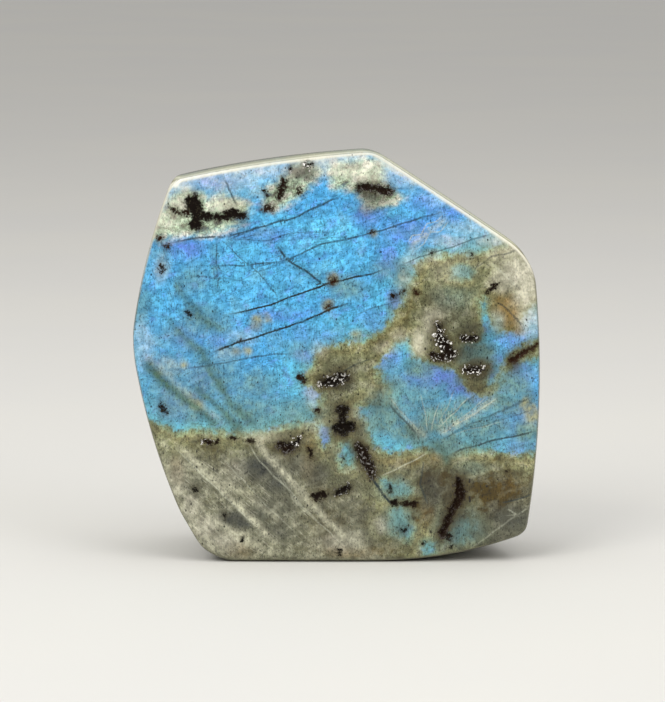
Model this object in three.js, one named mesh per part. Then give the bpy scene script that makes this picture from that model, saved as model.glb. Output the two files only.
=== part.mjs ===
// A polished free-form labradorite chunk that stands on a flat cut base.
// Millimetres, +Z up, the polished face looks along -Y, +X is to the right of someone facing it.
// The stone is one solid: slightly domed ground facets meet in eased edges, with natural pits in the face.
import * as THREE from "three";
import { mergeVertices } from "three/addons/utils/BufferGeometryUtils.js";

// Outline of the polished face, as the corners where neighbouring edges would meet: [x, z].
const TOP_LEFT = [-43.3, 96.1];
const PEAK = [9.6, 103.9];
const SHOULDER = [50.7, 76.2];
const RIGHT_HEEL = [48.1, 7];
const BASE_RIGHT = [12, 0];
const BASE_LEFT = [-27.5, 0];
const LEFT_HEEL = [-38.4, 8.2];
const FLANK = [-52.6, 52.6];

// Edges round the outline. bow: how far the edge bulges past its chord. lean: degrees by which the facet
// behind it closes in towards the back. ease: rounding where it meets the edges listed before it.
const EDGES = [
  { from: FLANK, to: TOP_LEFT, bow: 1.4, lean: 18, ease: 0 },
  { from: TOP_LEFT, to: PEAK, bow: 1.1, lean: 2, ease: 0.4 },
  { from: PEAK, to: SHOULDER, bow: 0.2, lean: 9, ease: 1.6 },
  { from: SHOULDER, to: RIGHT_HEEL, bow: 2.2, lean: 15, ease: 5.5 },
  { from: RIGHT_HEEL, to: BASE_RIGHT, bow: 1.6, lean: 1, ease: 1.5 },
  { from: LEFT_HEEL, to: FLANK, bow: 1.5, lean: 14, ease: 1.5 },
  { from: BASE_LEFT, to: LEFT_HEEL, bow: 1.5, lean: 1, ease: 2.5 },
];

const BOW_REACH = 0.55; // share of an edge's length, from its middle, over which it keeps bowing

// The polished face leans back a little and is a shallow dome.
const FACE_LEAN = 4;
const FACE_MIDDLE = [0, 52];
const FACE_DOME_RADIUS = 900;
const FACE_EDGE_EASE = 2;

// Facets of the back: a point on each, the way it looks, and the radius of its dome.
const BACK_FACETS = [
  { at: [2, 39, 45], normal: [0.04, 0.985, 0.16], dome: 260 },
  { at: [-49, 19, 80], normal: [-0.62, 0.74, 0.26], dome: 220 },
  { at: [49, 20, 63], normal: [0.5, 0.83, 0.24], dome: 220 },
  { at: [0, 24, 99], normal: [0.06, 0.66, 0.75], dome: 160 },
];
const BACK_RIDGE_EASE = 4;
const BACK_EDGE_EASE = 4.5;

// Natural pits in the face: middle [x, z], length, width and depth, and the angle of the length from +X.
const PITS = [
  { at: [-35.4, 88.8], length: 8, width: 6, depth: 0.9, angle: 80 },
  { at: [-28, 87.2], length: 11, width: 4, depth: 0.9, angle: 4 },
  { at: [-13.8, 93.3], length: 8, width: 4, depth: 1.1, angle: 72 },
  { at: [9.2, 94], length: 8, width: 4.4, depth: 1.3, angle: -8 },
  { at: [27, 55.4], length: 11.5, width: 5, depth: 1.7, angle: -70 },
  { at: [33.4, 56.4], length: 5, width: 4.4, depth: 1.1, angle: 10 },
  { at: [34.4, 48.4], length: 6.4, width: 4.4, depth: 1.2, angle: 5 },
  { at: [-0.6, 46], length: 6.4, width: 4.6, depth: 1.2, angle: 20 },
  { at: [1.9, 35.9], length: 8.5, width: 5, depth: 1.5, angle: -65 },
  { at: [-12, 29.8], length: 6, width: 5, depth: 1.2, angle: 40 },
  { at: [-32.2, 30.4], length: 5.4, width: 4.4, depth: 0.9, angle: 0 },
  { at: [7.2, 26], length: 8.5, width: 4.2, depth: 1.2, angle: -66 },
  { at: [1.4, 18.2], length: 6.5, width: 4.2, depth: 1, angle: 20 },
  { at: [29.1, 14], length: 15, width: 4.6, depth: 1.6, angle: 72 },
  { at: [46.2, 52.3], length: 6, width: 4.2, depth: 0.9, angle: 30 },
  { at: [38.9, 69.2], length: 5, width: 4.2, depth: 0.9, angle: 45 },
];

// Mesh: squares across the face and the back, and rows of squares between them.
const FACE_SQUARES = 44;
const SIDE_SQUARES = 5;
const COLUMNS = 4 * FACE_SQUARES;
const EDGE_DETAIL = 8; // millimetres of extra row length for each radian that the surface turns
const FINE_STEPS = 160;
const REACH = 120; // farther from the middle than any point of the stone
const HALVINGS = 40;
const FLAT_WITHIN = 1e-6; // a point this near the base plane lies on it

const GRID_CORNERS = [SHOULDER, TOP_LEFT, LEFT_HEEL, RIGHT_HEEL]; // where the grid of squares has corners
const CORE = new THREE.Vector3(0, 18, 50); // every point of the surface is in sight of this one
const OUTLINE_MIDDLE = new THREE.Vector2(0, 50);
const radians = THREE.MathUtils.degToRad;

const faceDepth = (z) => z * Math.tan(radians(FACE_LEAN));

// Signed distance to a ball-shaped facet, negative inside.
function domedFacet(point, normal, radius) {
  const outward = normal.clone().normalize();
  const centre = point.clone().addScaledVector(outward, -radius);
  return (p) => p.distanceTo(centre) - radius;
}

// Signed distance to the facet behind one edge of the outline: a leaning plane that bows along the edge.
function edgeFacet({ from, to, bow, lean }) {
  const start = new THREE.Vector2(...from);
  const end = new THREE.Vector2(...to);
  const chord = end.clone().sub(start);
  const length = chord.length();
  const middle = start.clone().add(end).multiplyScalar(0.5);
  const across = new THREE.Vector2(-chord.y, chord.x).normalize();
  if (across.dot(middle.clone().sub(OUTLINE_MIDDLE)) < 0) across.negate();
  middle.addScaledVector(across, bow);
  const tilt = radians(lean);
  const normal = new THREE.Vector3(across.x * Math.cos(tilt), Math.sin(tilt), across.y * Math.cos(tilt));
  const along = new THREE.Vector3(chord.x, 0, chord.y).normalize();
  const crest = new THREE.Vector3(middle.x, faceDepth(middle.y), middle.y);
  return (p) => {
    const away = p.clone().sub(crest);
    const share = Math.min(Math.abs(along.dot(away)) / length, BOW_REACH);
    return normal.dot(away) + 4 * bow * share ** 2;
  };
}

// Inside both distances, with the edge between them rounded.
function eased(a, b, ease) {
  const round = Math.hypot(Math.max(a + ease, 0), Math.max(b + ease, 0));
  return Math.min(Math.max(a, b), -ease) + round;
}

const edgeFacets = EDGES.map(edgeFacet);
const faceNormal = new THREE.Vector3(0, -Math.cos(radians(FACE_LEAN)), Math.sin(radians(FACE_LEAN)));
const faceFacet = domedFacet(
  new THREE.Vector3(FACE_MIDDLE[0], faceDepth(FACE_MIDDLE[1]), FACE_MIDDLE[1]),
  faceNormal,
  FACE_DOME_RADIUS,
);
const backFacets = BACK_FACETS.map(({ at, normal, dome }) =>
  domedFacet(new THREE.Vector3(...at), new THREE.Vector3(...normal), dome),
);

const outlineDistance = (p) =>
  edgeFacets.map((facet) => facet(p)).reduce((sum, distance, i) => eased(sum, distance, EDGES[i].ease));

const backDistance = (p) =>
  backFacets.map((facet) => facet(p)).reduce((sum, distance) => eased(sum, distance, BACK_RIDGE_EASE));

// Everything that bounds the face: the facets round it and the flat base.
const rimDistance = (p) => Math.max(outlineDistance(p), -p.z);

// Signed distance to the whole stone, before the pits.
const stoneDistance = (p) =>
  eased(eased(rimDistance(p), faceFacet(p), FACE_EDGE_EASE), backDistance(p), BACK_EDGE_EASE);

// The polished face reaches to the middle of its eased edge.
const onFace = (p) => faceFacet(p) > rimDistance(p);

// The point of the surface that CORE sees in one direction.
function surfacePoint(direction) {
  let near = 0;
  let far = REACH;
  const p = new THREE.Vector3();
  for (let i = 0; i < HALVINGS; i++) {
    const half = (near + far) / 2;
    p.copy(CORE).addScaledVector(direction, half);
    if (stoneDistance(p) < 0) near = half;
    else far = half;
  }
  return p;
}

// angle turns about Y from +X towards +Z. polar runs from 0 at the face to pi at the back.
function direction(angle, polar) {
  const side = Math.sin(polar);
  return new THREE.Vector3(side * Math.cos(angle), -Math.cos(polar), side * Math.sin(angle));
}

// Running length along points, counting extra where the line turns, scaled to end at 1.
function runningShare(points) {
  const share = [0];
  for (let i = 1; i < points.length; i++) {
    const step = points[i].clone().sub(points[i - 1]);
    const last = i > 1 ? points[i - 1].clone().sub(points[i - 2]) : step;
    share.push(share[i - 1] + step.length() + EDGE_DETAIL * step.angleTo(last));
  }
  return share.map((s) => s / share.at(-1));
}

// The value at a share of the way, between the samples on both sides of it.
function sampleAt(share, values, wanted) {
  let i = 1;
  while (i < share.length - 1 && share[i] < wanted) i++;
  const part = (wanted - share[i - 1]) / (share[i] - share[i - 1]);
  return THREE.MathUtils.lerp(values[i - 1], values[i], part);
}

// steps + 1 values from 0 to the last one.
const evenly = (steps, last) => Array.from({ length: steps + 1 }, (_, i) => (i * last) / steps);

// Four sides of the outline between the grid's corners: angles, and their running share of the side.
const cornerAngles = GRID_CORNERS.map(([x, z]) => Math.atan2(z - CORE.z, x - CORE.x));
const sides = cornerAngles.map((angle, i) => {
  const sweep = THREE.MathUtils.euclideanModulo(cornerAngles[(i + 1) % 4] - angle, 2 * Math.PI);
  const angles = evenly(FINE_STEPS, sweep).map((step) => angle + step);
  const points = angles.map((value) => surfacePoint(direction(value, Math.PI / 2)));
  return { angles, share: runningShare(points) };
});

// The angle of a column. Each side of the grid is a quarter turn, centred on an axis.
function columnAngle(turn) {
  const quarters = THREE.MathUtils.euclideanModulo(4 * turn - 0.5, 4);
  const { angles, share } = sides[Math.floor(quarters)];
  return sampleAt(share, angles, quarters % 1);
}

// The polar angle at which the face ends.
function faceEdge(angle) {
  let near = 0;
  let far = Math.PI;
  for (let i = 0; i < HALVINGS; i++) {
    const half = (near + far) / 2;
    if (onFace(surfacePoint(direction(angle, half)))) near = half;
    else far = half;
  }
  return near;
}

// One stretch of a line of the surface, between two polar angles.
function stretch(angle, from, to) {
  const polar = evenly(FINE_STEPS, to - from).map((step) => from + step);
  const points = polar.map((value) => surfacePoint(direction(angle, value)));
  return { polar, share: runningShare(points) };
}

// Lines of the surface, one for each column: across the face, then on round the side and the back.
const columnLines = evenly(COLUMNS, 1).map((turn) => {
  const angle = columnAngle(turn);
  const edge = faceEdge(angle);
  return { face: stretch(angle, 0, edge), behind: stretch(angle, edge, Math.PI) };
});

// The polar angle at a share of the way along a stretch, from the columns on both sides of this turn.
function polarAt(turn, name, share) {
  const column = Math.min(Math.floor(turn * COLUMNS), COLUMNS - 1);
  const [before, after] = [columnLines[column], columnLines[column + 1]].map((line) =>
    sampleAt(line[name].share, line[name].polar, share),
  );
  return THREE.MathUtils.lerp(before, after, turn * COLUMNS - column);
}

// How deep the pits go at a place on the face.
function pitDepth(x, z) {
  return PITS.reduce((deepest, { at, length, width, depth, angle }) => {
    const turn = radians(angle);
    const along = ((x - at[0]) * Math.cos(turn) + (z - at[1]) * Math.sin(turn)) / (length / 2);
    const across = ((z - at[1]) * Math.cos(turn) - (x - at[0]) * Math.sin(turn)) / (width / 2);
    return Math.max(deepest, depth * (1 - along ** 2 - across ** 2));
  }, 0);
}

// How far round the square's rim the point (a, b) lies, as a share of a whole turn.
function squareTurn(a, b) {
  if (a === 0 && b === 0) return 0;
  const wide = Math.abs(a) >= Math.abs(b);
  const eighths = wide ? b / a : 2 - a / b;
  const halfTurn = (wide ? a : b) < 0 ? 4 : 0;
  return ((eighths + halfTurn + 8) % 8) / 8;
}

// Where the corner (a, through, b) of a square lies on the stone. The -Y side of the box is the face.
function wrapped(a, through, b) {
  const turn = squareTurn(a, b);
  const ring = Math.max(Math.abs(a), Math.abs(b));
  const backRows = FACE_SQUARES / 2;
  const rowsBehind = ((through + 1) / 2) * SIDE_SQUARES + (1 - ring) * backRows;
  const shareBehind = rowsBehind / (SIDE_SQUARES + backRows);
  const polar = through === -1 ? polarAt(turn, "face", ring) : polarAt(turn, "behind", shareBehind);
  const p = surfacePoint(direction(columnAngle(turn), polar));
  if (through === -1) p.y += pitDepth(p.x, p.z);
  if (p.z < FLAT_WITHIN) p.z = 0;
  return p;
}

// The stone's surface as a box whose squares are wrapped round it.
function stoneGeometry() {
  const squares = new THREE.BoxGeometry(2, 2, 2, FACE_SQUARES, SIDE_SQUARES, FACE_SQUARES);
  squares.deleteAttribute("normal");
  squares.deleteAttribute("uv");
  const surface = mergeVertices(squares);
  const place = surface.getAttribute("position");
  for (let i = 0; i < place.count; i++) {
    const p = wrapped(place.getX(i), place.getY(i), place.getZ(i));
    place.setXYZ(i, p.x, p.y, p.z);
  }
  surface.computeBoundingBox();
  const middle = surface.boundingBox.getCenter(new THREE.Vector3());
  surface.translate(-middle.x, -middle.y, 0);
  surface.computeVertexNormals();
  return surface;
}

const stone = new THREE.Mesh(
  stoneGeometry(),
  new THREE.MeshStandardMaterial({ color: 0x5f7f94, roughness: 0.15, metalness: 0 }),
);
stone.name = "labradorite_stone";

const chunk = new THREE.Group();
chunk.add(stone);

export default chunk;
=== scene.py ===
import math

import bmesh
import bpy
import numpy as np
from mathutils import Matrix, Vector, noise


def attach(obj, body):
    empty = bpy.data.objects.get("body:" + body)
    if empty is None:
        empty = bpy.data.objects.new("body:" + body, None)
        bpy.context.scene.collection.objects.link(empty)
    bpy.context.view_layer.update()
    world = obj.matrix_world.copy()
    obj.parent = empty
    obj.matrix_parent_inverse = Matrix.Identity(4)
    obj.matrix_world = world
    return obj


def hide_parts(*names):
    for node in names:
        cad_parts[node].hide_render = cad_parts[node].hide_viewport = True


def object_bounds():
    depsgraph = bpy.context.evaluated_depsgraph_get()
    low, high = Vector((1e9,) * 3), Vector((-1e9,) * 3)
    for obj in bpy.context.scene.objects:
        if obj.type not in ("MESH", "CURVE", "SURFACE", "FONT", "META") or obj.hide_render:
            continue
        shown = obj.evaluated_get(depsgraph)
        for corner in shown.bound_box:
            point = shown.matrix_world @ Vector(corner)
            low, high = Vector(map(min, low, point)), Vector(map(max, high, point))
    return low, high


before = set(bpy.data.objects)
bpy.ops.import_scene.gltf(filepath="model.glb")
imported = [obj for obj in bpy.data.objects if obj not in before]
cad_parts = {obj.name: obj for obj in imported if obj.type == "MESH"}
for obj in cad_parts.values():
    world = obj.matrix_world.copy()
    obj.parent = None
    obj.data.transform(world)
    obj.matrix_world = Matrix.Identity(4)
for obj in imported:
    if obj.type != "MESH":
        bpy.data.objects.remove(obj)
cad_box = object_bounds()

MM = 0.001
NODE = "labradorite_stone"
PIECE = "polished_stone"
NOISE_SEED = 7  # without a seed, noise_vector gives other values in every run

# Camera and light, in metres and degrees.
CAMERA_DISTANCE = 0.9
CAMERA_ELEVATION = 8
FRAME_HEIGHT = 0.1755  # what the picture's long side takes in at the face
AIM_RIGHT = -0.001
AIM_UP = 0.05325
AIM_DEEP = 0.003  # behind the foremost point of the stone
SENSOR = 36  # millimetres, on the picture's long side
LIGHT_AIM = (0, 0, 0.05)
SOFTBOXES = [  # name, place, width, height, watts
    ("above", (0, -0.1, 0.9), 1.1, 0.7, 4),
    ("key", (-0.75, -1.0, 1.0), 0.8, 0.8, 11),
    ("fill", (1.0, -0.9, 0.8), 0.8, 0.8, 6),
]
WORLD_GREYS = ((0.1, 0.2), (0.7, 0.75))  # height in the sky, and grey there
FLOOR_SIZE = 14

# The polished face: a shallow dome that leans back, in degrees and metres.
FACE_LEAN = 4
FACE_MIDDLE_UP = 52 * MM
FACE_DOME_RADIUS = 0.9

# Corners of the polished face, x and z in millimetres, and the width of the eased rim along its edges.
FACE_OUTLINE = [
    (-43.3, 96.1), (9.6, 103.9), (50.7, 76.2), (48.1, 7), (12, 0), (-27.5, 0), (-38.4, 8.2),
    (-52.6, 52.6),
]
RIM = 2.4

# The mesh.
WELD = 2e-6  # metres within which two vertices become one
SQUARE_ANGLE = math.radians(60)
SUBDIVISIONS = 2
FLAT_ON = 0.99  # how squarely the flat of the face looks out of it, from 0 to 1
TOWARDS = 0.5  # how squarely any part of the face does
DENT_DEPTH = 3  # millimetres, and what lies deeper isn't the face
PIT_REACH = 1.2  # millimetres round a pit that get a finer mesh
FLATTEN_REACH = 5.5  # millimetres round a pit where the solid's coarse dent is filled
PIT_WALL = 0.7  # millimetres over which a pit's wall drops
PIT_ROUGHNESS = 0.28  # share of a pit's depth that its broken floor goes up and down

# How soft the drawn marks are.
SMUDGE_REACH = 3.6  # millimetres round a large pit that it darkens
SMUDGE_DEPTHS = (0.2, 0.9)  # millimetres of a pit's depth at which that starts and is full
SPOT_SOFTNESS = 0.9  # millimetres either way over which a round spot fades
LINE_REACH = 1.6  # millimetres from a thin line at which nothing of it shows
LINE_TAPER = 0.15  # share of a line's steps over which each end fades
BAND_REACH = 1.9  # half widths from a band's middle at which nothing of it shows
PATCH_FALLOFF = 1.5  # how steeply a soft patch ends, 1 being a bell curve
ZONE_FIELD = 12  # millimetres from a zone's border up to which the distance is kept
PIT_FIELD = 6  # the same for a pit's border

# Random shifts: millimetres over which each changes, and millimetres that it shifts.
ZONE_SHIFTS = [(7, 0.9), (2.2, 0.5)]
LINE_SHIFTS = [(4, 0.35)]
PIT_SHIFTS = [(1.3, 0.5), (3.5, 0.4)]
PIT_FLOOR_SHIFTS = [(0.7, 1), (0.35, 0.6)]  # as shares of a pit's roughness

# Noises: size in millimetres, detail, roughness, stretch along x, y and z, and turn about y in degrees.
CLOUDS = (5, 3)
MOTTLE = (1.5, 2)
GRAIN = (0.4, 2, 0.7, (1, 1, 1.6))
VEIL = (2.4, 3, 0.6, (1.5, 1, 1), -20)
SILK = (0.8, 3, 0.6, (5, 1, 1), 45)
HAIRS = (0.3, 2, 0.6, (12, 1, 1), 38)
ROCK_VEINS = (2.6, 4, 0.65)
BLUE_VEINS = (1.6, 3, 0.6, (4, 1, 1), -16)
LAMELLAE = (0.35, 1, 0.5, (1, 1, 14))
CRUMBS = (0.6, 3, 0.7)
# shapes of the painted glints in the pits
GLINT_SHARDS = (0.6, 2, 0.6)
FLOOR_CLOUDS = (180, 3)
FLOOR_TOOTH = (3, 3)

# Dark specks: millimetres from one to the next, stretch, and sizes as shares of that spacing.
SPECK_SPACING = 1.4
SPECK_STRETCH = (1, 1, 1.6)
SPECK_SIZE = 0.15  # of the largest
SPECK_GROWTH = 0.14  # added round large pits

# Polish and relief.
STONE_IOR = 1.56
STONE_SPECULAR = 0.2
PIT_SPECULAR = 0.05
POLISH_ROUGHNESS = (0.16, 0.28)  # of the smoothest and the dullest parts of the face
PIT_DULLNESS = 0.45  # roughness added in a pit
CRACK_DULLNESS = 0.2  # roughness added at a crack
COAT_WEIGHT = 0.35
COAT_ROUGHNESS = 0.03
MOTTLE_HEIGHT = 0.25
GRAIN_HEIGHT = 0.12
CRACK_HEIGHT = -0.5
CRUMB_HEIGHT = 1.5
BUMP_DEPTH = 0.1 * MM
BUMP_STRENGTH = 0.35
FLOOR_ROUGHNESS = 0.85
FLOOR_BUMP = 0.04

# How the zones run through the stone: millimetres that they drift for each millimetre of depth.
DRIFT_RIGHT = 0.35
DRIFT_UP = -0.22
PIT_FADE = 0.5  # millimetres that a pit shrinks for each millimetre of depth

# All marks in the stone are given in millimetres on the face: x to the right, z up.
# Outlines of the zones that flash blue.
MAIN_FLASH = [
    (-58, 35), (-58, 112), (62, 112), (62, 82), (46, 81), (41, 79), (37, 77.6), (33.4, 76.8), (29.6, 77),
    (25.9, 77), (22.9, 76.4), (20.8, 75), (19.6, 72.5), (18.4, 70), (17.8, 67.5), (16.6, 65), (15, 62.3),
    (12.4, 59.6), (8.4, 57.2), (5.4, 55.6), (1.4, 55), (-2.1, 54.4), (-4.6, 52.6), (-5.6, 50.6),
    (-6.9, 48.6), (-8.2, 47), (-7, 44.6), (-3.6, 43), (-4.1, 40.5), (-5.6, 38.5), (-4.6, 36), (-7.1, 35),
    (-11.6, 35), (-15.1, 33.8), (-18.6, 33), (-25.4, 33), (-30.4, 33), (-35.4, 32.8), (-39.6, 33),
    (-46.6, 35.5),
]
RIGHT_FLASH = [
    (15.9, 56.5), (18.4, 57), (19.4, 54.5), (20.1, 52), (23.9, 50.5), (27.2, 49.3), (29.8, 48),
    (31.6, 46.8), (32.6, 44.6), (33.9, 42.8), (36.4, 42), (39.4, 42.8), (41.2, 45.2), (42.4, 47.8),
    (44.2, 49.9), (46.9, 51), (52, 53), (62, 53), (62, 27.5), (50.9, 27), (47.1, 26.8), (42.1, 27.2),
    (38.4, 28), (34.6, 28.5), (31.4, 28), (28.4, 26.8), (25.4, 27), (23.4, 28.5), (20.9, 28.8),
    (17.9, 28), (14.6, 27), (11.4, 27.2), (9.1, 29), (7.9, 31.5), (8.1, 34.8), (6.9, 36.5), (4.9, 37.5),
    (5.1, 40), (7.9, 41), (12.4, 40.5), (13.9, 42.5), (13.1, 45), (10.9, 46.5), (9.6, 49), (11.4, 51.5),
    (13.9, 54),
]
SHOULDER_FLASH = [
    (62, 66), (52, 65.5), (48.4, 64), (46.6, 61.5), (45.9, 58.5), (43.4, 57.2), (40.6, 58.2),
    (38.6, 60.8), (37.6, 63.5), (36.9, 66.5), (35.6, 65.5), (35.4, 62.2), (35.9, 58.5), (34.9, 56),
    (31.9, 54.8), (31.4, 52.8), (35.4, 51.8), (37.6, 50.5), (37.4, 44.8), (39.4, 45), (41.3, 48.4),
    (43.4, 51.3), (46.4, 53.2), (49.6, 55), (62, 58),
]
FLASH_ISLANDS = [
    [(-5.6, 35.6), (-1.6, 34.4), (-0.9, 30.5), (-2.6, 29), (-4.4, 31)],
    [(1.6, 30.5), (3.4, 31), (5.1, 29), (5.4, 26.5), (3.9, 24), (1.6, 24), (0.9, 27)],
    [(9.9, 21.5), (13.4, 21), (16.9, 20), (18.9, 18.5), (17.9, 16), (14.9, 17.5), (11.9, 19)],
    [(14.1, 14), (16.4, 14.5), (17.6, 11.5), (19.4, 8.5), (18.4, 5.5), (15.4, 7), (14.1, 10.5)],
    [(21.5, 6), (25.5, 5), (25.9, 2.2), (21.5, 1.8)],
    [(29.4, 11), (32, 11.4), (33.4, 8.6), (31, 5), (27.4, 6)],
    [(29.6, 74.2), (31.5, 74.8), (33.8, 73.2), (32, 71.4), (29.4, 72)],
]
# Outlines of the cream patches within the blue, and round spots of the same kind: x, z, radius.
CREAM_PATCHES = [
    [(-43.4, 89.2), (-41.1, 92.2), (-37.6, 94), (-34.1, 93.5), (-32.1, 91), (-30.1, 91.8), (-27.6, 93),
     (-24.6, 91.8), (-21.6, 89.2), (-22.1, 86.8), (-25.4, 84.5), (-28.6, 82.8), (-32.6, 82),
     (-37.9, 81.6), (-42.9, 81), (-48, 80), (-48, 84)],
    [(-18.6, 92), (-16.6, 95), (-13.1, 97), (-11.1, 100.5), (-6.1, 101), (-3.1, 98), (-6.1, 95.2),
     (-8.1, 92), (-10.4, 90.5), (-13.4, 89.5), (-15.4, 87.5), (-18.1, 88)],
    [(-2.6, 99), (2.1, 101), (9.4, 101.5), (12.4, 99.5), (11.9, 96), (14.9, 93.5), (16.4, 91.5),
     (14.9, 89.2), (11.4, 88.5), (7.4, 89.2), (6, 92), (3.4, 93.2), (-0.8, 93)],
]
CREAM_SPOTS = [
    (-20.3, 60.3, 1.7), (-17.6, 61.2, 1), (-2, 64.6, 1.5), (-1, 70.8, 1.4), (-25, 53, 1.1),
    (-22.5, 53.3, 1.1), (-38, 50, 0.8), (-35, 39.4, 1.4), (8.8, 82.6, 0.8), (4.6, 57.6, 1),
    (48.8, 37.6, 2.2), (47.4, 40, 1.2),
]

# Soft patches of tint: x, z, half width, half height, amount.
WARM = [
    (12, 56.5, 4.5, 3, 0.45), (16, 63, 3, 5, 0.4), (43.4, 59, 2, 3, 0.4), (20, 66, 3, 4, 0.3),
    (38.8, 17.6, 8, 4.8, 1.2), (43, 21.6, 5, 4, 0.45), (24, 17, 3, 3, 0.7), (36, 13, 5, 3, 0.85),
    (30, 24.6, 3, 3, 0.4), (28, 18, 4, 6, 0.75), (33, 15, 12, 10, 0.4), (28, 21, 4, 4, 0.9),
    (21.6, 13.4, 4, 4.4, 0.9), (23.6, 22, 3.6, 6.4, 0.9), (19, 21, 3, 3, 0.5), (20, 25, 4, 2.4, 0.35),
    (24, 25, 4, 3, 0.6), (40, 25, 4, 2.4, 0.6), (32, 13, 4, 5, 0.6), (-3, 10, 5, 4, 0.5),
    (8, 13, 4, 3, 0.35), (13.6, 4, 5, 3.4, 0.7), (-4, 5, 4, 3, 0.35), (-8.6, 31.4, 4, 2.4, 0.6),
    (-4, 21, 2.5, 5, 0.5), (-32, 28.5, 5, 2.5, 0.5), (-20, 30, 4, 2, 0.5), (-36, 41, 3, 2, 0.5),
    (36.4, 44, 4, 2, 0.4), (44, 50, 2.5, 2, 0.5), (-40, 88, 3, 4, 0.2), (9.5, 91.5, 4, 2, 0.35),
]
VIOLET = [
    (-37.5, 78.6, 4.5, 2.6, 0.9), (-40, 40, 4.5, 4, 0.6), (-34, 46.5, 3, 3, 0.5),
    (-5.5, 43.6, 3, 2.2, 0.85), (-2.8, 31.5, 2, 3, 0.9), (12, 51, 5, 3, 0.7), (24, 46.4, 9, 3, 1),
    (31, 44, 5, 2.6, 0.95), (36, 41.6, 4, 2, 0.8), (44, 56, 6, 4, 0.6), (44, 36.4, 3.4, 4, 0.6),
    (46, 29, 4, 3, 0.5), (19, 83, 8, 4, 0.7), (28, 88, 6, 3, 0.5), (13, 76, 3, 4, 0.7),
    (9, 61.5, 4, 3, 0.5), (14.5, 66, 2, 3, 0.8), (8, 87, 4, 3, 0.6), (-18, 82.4, 12, 1.4, 0.4),
    (-38, 57, 4, 3, 0.5), (45, 47, 6, 4, 0.7), (-5, 57, 7, 3, 0.45), (-8, 52.6, 3, 2, 0.7),
    (-33, 95.6, 8, 2, 0.5), (48, 62, 3, 4, 0.3), (-14, 62.4, 8, 1.5, 0.5), (39, 52, 4, 2.5, 0.6),
    (21, 90, 4, 3, 0.5), (6, 35, 3, 4, 0.3), (-30, 56, 3, 2, 0.5),
]
# pale patches, partly real and partly painted sheen near the face's edges, most of all along the top edge
# and at the top right corner
PALE_AND_SHEEN = [
    (17, 97, 5, 3, 0.4), (13, 98, 5, 3, 0.5), (8, 97.6, 4, 2, 0.75), (4, 98.5, 10, 2.6, 0.7),
    (-4, 101, 8, 2.4, 0.8), (-22, 98.4, 13, 2.4, 0.6), (-20, 94, 3, 2, 0.3), (-27, 95.4, 9, 2.6, 0.5),
    (-39.4, 94.4, 5, 2.2, 0.7), (-28, 90, 4, 2, 0.75), (-20, 93, 3, 2, 0.4), (-36, 93.6, 2, 2, 0.4),
    (32, 77.4, 4, 2, 0.3), (-43, 85.5, 4, 3, 0.5), (-41, 89.4, 3, 3, 0.55), (-49, 55, 3, 6, 0.35),
    (-4, 53.6, 2.4, 2, 0.4), (-24, 57, 4, 2, 0.3), (24, 77, 3, 2, 0.35), (16, 57, 2.4, 2, 0.4),
    (-44, 73.4, 2, 3, 0.45), (-42, 49.4, 4, 2.4, 0.3), (30, 91.4, 8, 2, 0.3), (28, 81, 5, 2, 0.5),
    (19.6, 76, 3, 3, 0.4), (17, 70.6, 1.8, 4, 0.3), (33, 84, 5, 2.4, 0.4), (40, 81, 6, 2.4, 0.6),
    (41, 76.4, 5, 2.5, 0.4), (45.5, 73, 5, 4.5, 0.8), (48, 68, 4, 5.5, 0.95), (48.4, 61, 3, 4.4, 0.75),
    (41, 70.4, 3, 2.4, 0.6), (43.9, 77.4, 4, 2, 0.6), (40, 61, 2.4, 3, 0.3), (28, 73.4, 4.4, 3, 0.25),
    (20.8, 55.4, 2, 4, 0.75), (23.4, 60, 2.4, 4, 0.6), (-6.4, 42, 2, 3, 0.3), (-4, 34, 3, 2.4, 0.3),
    (49, 36.6, 3, 3, 0.25), (-17, 32, 5, 1.5, 0.35), (-40, 21, 3, 5, 0.35), (-33, 8.6, 4, 3, 0.55),
    (-36.4, 13.6, 2.4, 3.4, 0.5), (-26, 23, 3, 4, 0.18), (11.6, 9.4, 2, 2, 0.4), (4.4, 37.6, 1.6, 2, 0.3),
    (-28, 53, 3, 2, 0.2), (12, 54, 3, 2, 0.35), (-28, 5, 5, 3, 0.5), (1.4, 5, 5, 3, 0.4),
]
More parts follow.
